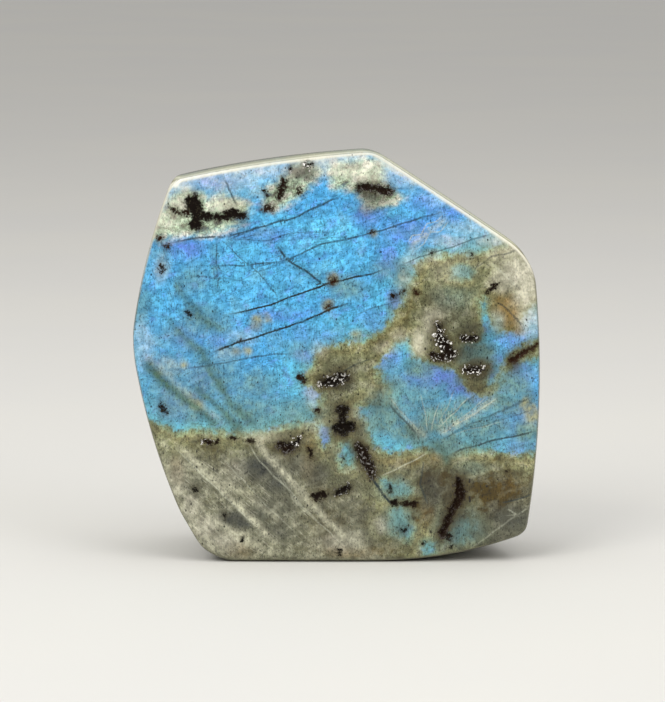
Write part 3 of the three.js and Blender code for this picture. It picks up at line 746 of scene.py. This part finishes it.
class Graph:
    """Short ways to add shader nodes to one material, each after the nodes that it reads."""

    def __init__(self, name):
        self.material = bpy.data.materials.new(name)
        self.material.use_nodes = True
        self.tree = self.material.node_tree
        self.shader = self.tree.nodes["Principled BSDF"]

    def feed(self, socket, value):
        if isinstance(value, bpy.types.NodeSocket):
            self.tree.links.new(value, socket)
        else:
            socket.default_value = value

    def node(self, kind, inputs, **settings):
        made = self.tree.nodes.new("ShaderNode" + kind)
        for name, value in settings.items():
            setattr(made, name, value)
        for key, value in inputs.items():
            self.feed(made.inputs[key], value)
        return made

    def math(self, operation, *values):
        return self.node("Math", dict(enumerate(values)), operation=operation).outputs[0]

    def times(self, first, second):
        return self.math("MULTIPLY", first, second)

    def off_middle(self, pattern):
        """How far a noise is from its middle, which is 0 along thin veins."""
        return self.math("ABSOLUTE", self.math("SUBTRACT", pattern, 0.5))

    def mix(self, share, first, second):
        inputs = {0: share, 6: first, 7: second}  # 6 and 7 are the sockets of colours
        return self.node("Mix", inputs, data_type="RGBA").outputs[2]

    def tinted(self, share, amount, base, colour):
        """The base moved towards a colour by a share of an amount."""
        return self.mix(self.times(share, amount), base, linear(colour))

    def smooth(self, value, low, high, first=0, last=1):
        """An even curve from the first value at low to the last at high."""
        inputs = {"Value": value, "From Min": low, "From Max": high, "To Min": first, "To Max": last}
        return self.node("MapRange", inputs, interpolation_type="SMOOTHSTEP").outputs[0]

    def scaled(self, colour, factor):
        return self.node("VectorMath", {0: colour, "Scale": factor}, operation="SCALE").outputs[0]

    def jitter(self, value, pattern, amount):
        """The value shifted up and down by a noise."""
        return self.math("MULTIPLY_ADD", self.math("SUBTRACT", pattern, 0.5), amount, value)

    def place(self, stretch, turn=0):
        """Where a point of the stone is, for features that are stretched, and turned about its depth."""
        spot = self.node("TexCoord", {}).outputs["Object"]
        inputs = {"Vector": spot, "Scale": stretch, "Rotation": (0, math.radians(turn), 0)}
        return self.node("Mapping", inputs, vector_type="TEXTURE").outputs[0]

    def noise(self, size, detail, roughness=0.5, stretch=(1, 1, 1), turn=0):
        """Smooth noise from 0 to 1 whose features are about that many millimetres."""
        place = self.place(stretch, turn)
        inputs = {"Vector": place, "Scale": 1 / (size * MM), "Detail": detail, "Roughness": roughness}
        return self.node("TexNoise", inputs).outputs[0]

    def cells(self, size, stretch):
        """Distance to the nearest of some scattered points, in cells, and a random value of that cell."""
        made = self.node("TexVoronoi", {"Vector": self.place(stretch), "Scale": 1 / (size * MM)})
        value = self.node("SeparateColor", {0: made.outputs["Color"]}).outputs[0]
        return made.outputs["Distance"], value

    def ramp(self, value, stops):
        made = self.node("ValToRGB", {0: value})
        elements = made.color_ramp.elements
        while len(elements) < len(stops):
            elements.new(0.5)
        for element, (position, colour) in zip(elements, stops):
            element.position = position
            element.color = linear(colour)
        return made.outputs[0]

    def bump(self, height, strength, depth):
        inputs = {"Height": height, "Strength": strength, "Distance": depth}
        self.feed(self.shader.inputs["Normal"], self.node("Bump", inputs).outputs[0])

    def kept(self, name):
        """A value that the mesh keeps at every vertex."""
        return self.node("Attribute", {}, attribute_name=name).outputs["Fac"]

    def kept_three(self, name):
        made = self.node("Attribute", {}, attribute_name=name)
        return self.node("SeparateXYZ", {0: made.outputs["Vector"]}).outputs


def flash_ramp(graph, flash):
    """Colour across the border of a blue zone."""
    low, high = FLASH_COLOURS[0][0], FLASH_COLOURS[-1][0]
    inputs = {"Value": flash, "From Min": low, "From Max": high}
    share = graph.node("MapRange", inputs).outputs[0]
    return graph.ramp(share, [((at - low) / (high - low), colour) for at, colour in FLASH_COLOURS])


def ground_tints(graph, ground, silky, veil):
    """Streaks, smoke, hairs and veins of the olive ground: where, how much, and colour."""
    silk = graph.noise(*SILK)
    hairs = graph.noise(*HAIRS)
    rock = graph.off_middle(graph.noise(*ROCK_VEINS))
    return [
        (graph.times(graph.smooth(silk, 0.5, 0.72), silky), 0.4, STREAK),
        (graph.times(graph.smooth(silk, 0.48, 0.3), silky), 0.45, SMOKE),
        (graph.times(graph.smooth(veil, 0.5, 0.34), ground), 0.5, DARK_OLIVE),
        (graph.times(graph.smooth(hairs, 0.58, 0.68), silky), 0.35, CREAM),
        (graph.times(graph.smooth(veil, 0.5, 0.66), ground), 0.35, STREAK),
        (graph.times(graph.smooth(rock, 0.045, 0), graph.math("SUBTRACT", ground, silky)), 0.6, DARK_OLIVE),
    ]


def blue_tints(graph, blue, violet, bright, veil, clouds):
    """Clouds, veins and violet parts of the blue flash: where, how much, and colour."""
    veins = graph.off_middle(graph.noise(*BLUE_VEINS))
    return [
        (graph.times(bright, blue), 0.6, BRIGHT_BLUE),
        (graph.times(violet, blue), 0.9, VIOLET_BLUE),
        (graph.times(graph.smooth(veil, 0.52, 0.7), blue), 0.45, VIOLET_BLUE),
        (graph.times(graph.smooth(clouds, 0.48, 0.68), blue), 0.4, TEAL_GREY),
        (graph.times(graph.smooth(clouds, 0.5, 0.34), blue), 0.4, BRIGHT_BLUE),
        (graph.times(graph.smooth(veins, 0.035, 0.005), blue), 0.45, VEIN),
    ]


def zone_colour(graph, clouds, mottle, grain):
    """Blue flash, cream patches and olive ground, with soft patches of other tints."""
    border = graph.jitter(graph.jitter(graph.kept("flash"), mottle, 3), grain, 1.5)
    veil = graph.noise(*VEIL)
    cream = graph.smooth(graph.jitter(graph.jitter(graph.kept("cream"), veil, 5), grain, 1), -1.8, 1.8)
    blue = graph.times(graph.smooth(border, -0.4, 1.4), graph.math("SUBTRACT", 1, cream))
    ground = graph.math("SUBTRACT", 1, blue)
    warm, violet, pale = graph.kept_three("tint")
    grey, teal, bright = graph.kept_three("shade")
    spot, dark_band, light_band = graph.kept_three("soft")
    gold, silky, smudge = graph.kept_three("stain")
    tints = [
        *ground_tints(graph, ground, graph.times(silky, ground), veil),
        *blue_tints(graph, blue, violet, bright, veil, clouds),
        (teal, 1.15, TEAL_GREY),
        (graph.times(warm, graph.smooth(veil, 0.38, 0.6, 1.4, 0.75)), 0.95, BROWN),
        (gold, 0.9, AMBER),
        (grey, 0.95, SMOKE),
        # pale patches, partly painted sheen near the face's edges
        (pale, 0.7, CREAM),
        (spot, 0.75, TAN),
        (dark_band, 0.95, BAND),
        (light_band, 0.8, STREAK),
        (smudge, 0.75, DARK_OLIVE),
    ]
    cream_tone = graph.ramp(veil, [(0.34, DULL_CREAM), (0.48, YELLOW_CREAM), (0.66, CREAM)])
    colour = graph.mix(graph.times(cream, 0.85), flash_ramp(graph, border), cream_tone)
    patchy = graph.smooth(mottle, 0.3, 0.7, 0.74, 1.14)
    for share, amount, tint in tints:
        colour = graph.tinted(graph.times(share, patchy), amount, colour, tint)
    return colour


def edge_colour(graph, colour):
    """The flash dies away on the sides and the back, and the top edge gets a painted cream highlight over
    its own grey-olive.
    """
    outward = graph.kept_three("outward")
    turned = graph.smooth(graph.math("ABSOLUTE", outward[1]), 0.93, 0.5)
    colour = graph.tinted(turned, 0.65, colour, GREY_OLIVE)
    # painted highlight: where the surface turns to face up, a cream line on the rounded top edge, then dull
    # cream to grey-olive on the top
    upper_highlight = graph.times(graph.smooth(outward[2], 0.16, 0.34), graph.smooth(outward[1], 0.3, 0.05))
    highlight_tone = graph.ramp(outward[2], [(0.5, CREAM), (0.6, DULL_CREAM), (0.74, STREAK), (0.95, GREY_OLIVE)])
    return graph.mix(graph.times(upper_highlight, 0.8), colour, highlight_tone)


def stipple(graph, clouds, mottle, grain):
    """Light and dark of the stone: clouds, fine dark points and lamellae, all fainter on pale patches and
    painted sheen.
    """
    lamellae = graph.noise(*LAMELLAE)
    light = graph.smooth(clouds, 0.3, 0.7, 0.8, 1.14)
    light = graph.times(light, graph.smooth(mottle, 0.3, 0.7, 0.76, 1.2))
    light = graph.times(light, graph.smooth(lamellae, 0.3, 0.7, 0.9, 1.08))
    light = graph.times(light, graph.smooth(grain, 0.24, 0.54, 0.3, 1.2))
    # pale patches and painted sheen
    pale = graph.kept_three("tint")[2]
    return graph.math("MULTIPLY_ADD", graph.math("SUBTRACT", 1, light), graph.times(pale, 0.55), light)


def line_share(graph, field, wobble):
    """How strongly a line of a field of thin lines shows."""
    distance = graph.math("ADD", graph.math("ABSOLUTE", field[0]), wobble)
    share = graph.math("DIVIDE", distance, field[2])
    return graph.times(graph.smooth(share, 1.5, 0.4), field[1])


def speck_share(graph):
    """Small dark specks, a little taller than wide, with more and larger ones round large pits."""
    distance, chance = graph.cells(SPECK_SPACING, SPECK_STRETCH)
    smudge = graph.kept_three("stain")[2]
    size = graph.smooth(chance, 0.36, 1, 0, SPECK_SIZE)
    size = graph.math("MULTIPLY_ADD", smudge, SPECK_GROWTH, size)
    return graph.smooth(graph.math("SUBTRACT", distance, size), 0.02, -0.03)


def pit_colour(graph, mottle, grain, colour):
    """Where a pit is open, and the colour with the pits' rusty rims, dark holes and painted glints on their
    crystal grains.
    """
    inside, crystal_glints, rust = graph.kept_three("pit")
    crumbs = graph.noise(*CRUMBS)
    ragged = graph.jitter(graph.jitter(inside, crumbs, 3), grain, 2)
    hole = graph.smooth(ragged, -0.5, 0.3)
    rim = graph.times(graph.smooth(ragged, -1.6, 0.2), graph.math("MULTIPLY_ADD", rust, 0.6, 0.4))
    glint_shards = graph.noise(*GLINT_SHARDS)
    # painted glint: near-white specks in a pit, where its crystal grains would catch the light
    glint = graph.times(graph.smooth(glint_shards, 0.55, 0.59), graph.smooth(mottle, 0.45, 0.53))
    tints = [
        (rim, 0.7, BROWN),
        (hole, 1, PIT),
        (graph.times(graph.times(rust, crumbs), hole), 0.9, RUST),
        (graph.times(graph.smooth(grain, 0.6, 0.7), hole), 0.2, DULL_CREAM),
        (graph.times(glint, graph.times(crystal_glints, hole)), 1, CRYSTAL_GLINT),
    ]
    for share, amount, tint in tints:
        colour = graph.tinted(share, amount, colour, tint)
    return hole, colour


def gloss(graph, mottle, hole, crack):
    """An even polish that is dull in pits and a little broken at cracks."""
    inputs = graph.shader.inputs
    rough = graph.smooth(mottle, 0.25, 0.75, *POLISH_ROUGHNESS)
    rough = graph.math("MULTIPLY_ADD", hole, PIT_DULLNESS, rough)
    graph.feed(inputs["Roughness"], graph.math("MULTIPLY_ADD", crack, CRACK_DULLNESS, rough))
    dimming = PIT_SPECULAR - STONE_SPECULAR
    graph.feed(inputs["Specular IOR Level"], graph.math("MULTIPLY_ADD", hole, dimming, STONE_SPECULAR))
    graph.feed(inputs["Coat Weight"], graph.math("MULTIPLY_ADD", hole, -COAT_WEIGHT, COAT_WEIGHT))
    inputs["Coat Roughness"].default_value = COAT_ROUGHNESS
    inputs["IOR"].default_value = STONE_IOR


def relief(graph, mottle, grain, hole, crack):
    """Fine unevenness: faint on the polish, sunk at cracks, crumbly in pits."""
    height = graph.math("MULTIPLY_ADD", mottle, MOTTLE_HEIGHT, graph.times(grain, GRAIN_HEIGHT))
    height = graph.math("MULTIPLY_ADD", crack, CRACK_HEIGHT, height)
    height = graph.math("MULTIPLY_ADD", graph.times(grain, hole), CRUMB_HEIGHT, height)
    graph.bump(height, BUMP_STRENGTH, BUMP_DEPTH)


def labradorite():
    """Polished labradorite: blue flash over olive and brown zones, with cracks, specks and dark pits."""
    graph = Graph("labradorite")
    clouds = graph.noise(*CLOUDS)
    mottle = graph.noise(*MOTTLE)
    grain = graph.noise(*GRAIN)
    wobble = graph.times(graph.math("SUBTRACT", grain, 0.5), 0.4)
    broken = graph.smooth(mottle, 0.3, 0.5, 0.6, 1.1)
    crack = graph.times(line_share(graph, graph.kept_three("crack"), wobble), broken)

    colour = zone_colour(graph, clouds, mottle, grain)
    colour = graph.tinted(line_share(graph, graph.kept_three("ray"), wobble), 0.75, colour, RAY)
    colour = graph.tinted(crack, 1, colour, CRACK)
    colour = edge_colour(graph, graph.scaled(colour, stipple(graph, clouds, mottle, grain)))
    colour = graph.tinted(speck_share(graph), 0.85, colour, PIT)
    hole, colour = pit_colour(graph, mottle, grain, colour)
    graph.feed(graph.shader.inputs["Base Color"], colour)
    gloss(graph, mottle, hole, crack)
    relief(graph, mottle, grain, hole, crack)
    return graph.material


def pale_plaster():
    """The floor's plain matt surface."""
    graph = Graph("pale_plaster")
    cloud = graph.smooth(graph.noise(*FLOOR_CLOUDS), 0.3, 0.7)
    graph.feed(graph.shader.inputs["Base Color"], graph.tinted(cloud, 0.1, linear(FLOOR), CREAM))
    graph.shader.inputs["Roughness"].default_value = FLOOR_ROUGHNESS
    graph.bump(graph.noise(*FLOOR_TOOTH), FLOOR_BUMP, MM)
    return graph.material


def stone():
    """The dressed stone, which stands for the CAD solid."""
    piece = copied_stone()
    datum = face_datum(piece.data)
    subdivide(piece)
    fill_dents(piece, datum)
    refine_pits(piece, datum)
    paint(piece.data, datum)
    piece.data.polygons.foreach_set("use_smooth", [True] * len(piece.data.polygons))
    piece.data.materials.clear()
    piece.data.materials.append(labradorite())
    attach(piece, "root")
    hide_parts(NODE)


def floor():
    """A wide pale floor under the stone, which isn't part of it."""
    half = FLOOR_SIZE / 2
    corners = [(-half, -half, 0), (half, -half, 0), (half, half, 0), (-half, half, 0)]
    mesh = bpy.data.meshes.new("floor")
    mesh.from_pydata(corners, [], [(0, 1, 2, 3)])
    plane = bpy.data.objects.new("floor", mesh)
    mesh.materials.append(pale_plaster())
    bpy.context.scene.collection.objects.link(plane)


def aimed(thing, place, target):
    """Links a camera or a light, and points it from a place at a target."""
    bpy.context.scene.collection.objects.link(thing)
    thing.location = place
    thing.rotation_euler = (Vector(target) - Vector(place)).to_track_quat("-Z", "Y").to_euler()


def softbox(name, place, wide, high, watts):
    """One soft rectangular light, aimed at the stone."""
    light = bpy.data.lights.new(name, "AREA")
    light.shape = "RECTANGLE"
    light.size = wide
    light.size_y = high
    light.energy = watts
    aimed(bpy.data.objects.new(name, light), place, LIGHT_AIM)


def sky():
    """A grey studio, light overhead and dim at the height that the face mirrors to the camera."""
    world = bpy.data.worlds.new("studio")
    world.use_nodes = True
    tree = world.node_tree
    direction = tree.nodes.new("ShaderNodeTexCoord").outputs["Generated"]
    parts = tree.nodes.new("ShaderNodeSeparateXYZ")
    tree.links.new(direction, parts.inputs[0])
    ramp = tree.nodes.new("ShaderNodeValToRGB")
    tree.links.new(parts.outputs[2], ramp.inputs[0])
    for element, (rise, grey) in zip(ramp.color_ramp.elements, WORLD_GREYS):
        element.position = rise
        element.color = (grey, grey, grey, 1)
    tree.links.new(ramp.outputs[0], tree.nodes["Background"].inputs["Color"])
    bpy.context.scene.world = world


def studio():
    """Soft light from above and both sides of the camera, clear of what the face mirrors to it."""
    for box in SOFTBOXES:
        softbox(*box)
    bpy.context.scene.view_settings.view_transform = "Standard"


def camera(target):
    """The photograph's view: from the front and a little above."""
    data = bpy.data.cameras.new("camera")
    data.sensor_width = SENSOR
    data.lens = SENSOR * CAMERA_DISTANCE / FRAME_HEIGHT
    rise = math.radians(CAMERA_ELEVATION)
    back = Vector((0, -math.cos(rise), math.sin(rise)))
    seen = bpy.data.objects.new("camera", data)
    aimed(seen, Vector(target) + back * CAMERA_DISTANCE, target)
    bpy.context.scene.camera = seen


noise.seed_set(NOISE_SEED)
stone()
floor()
sky()
studio()
camera((AIM_RIGHT, cad_box[0].y + AIM_DEEP, AIM_UP))
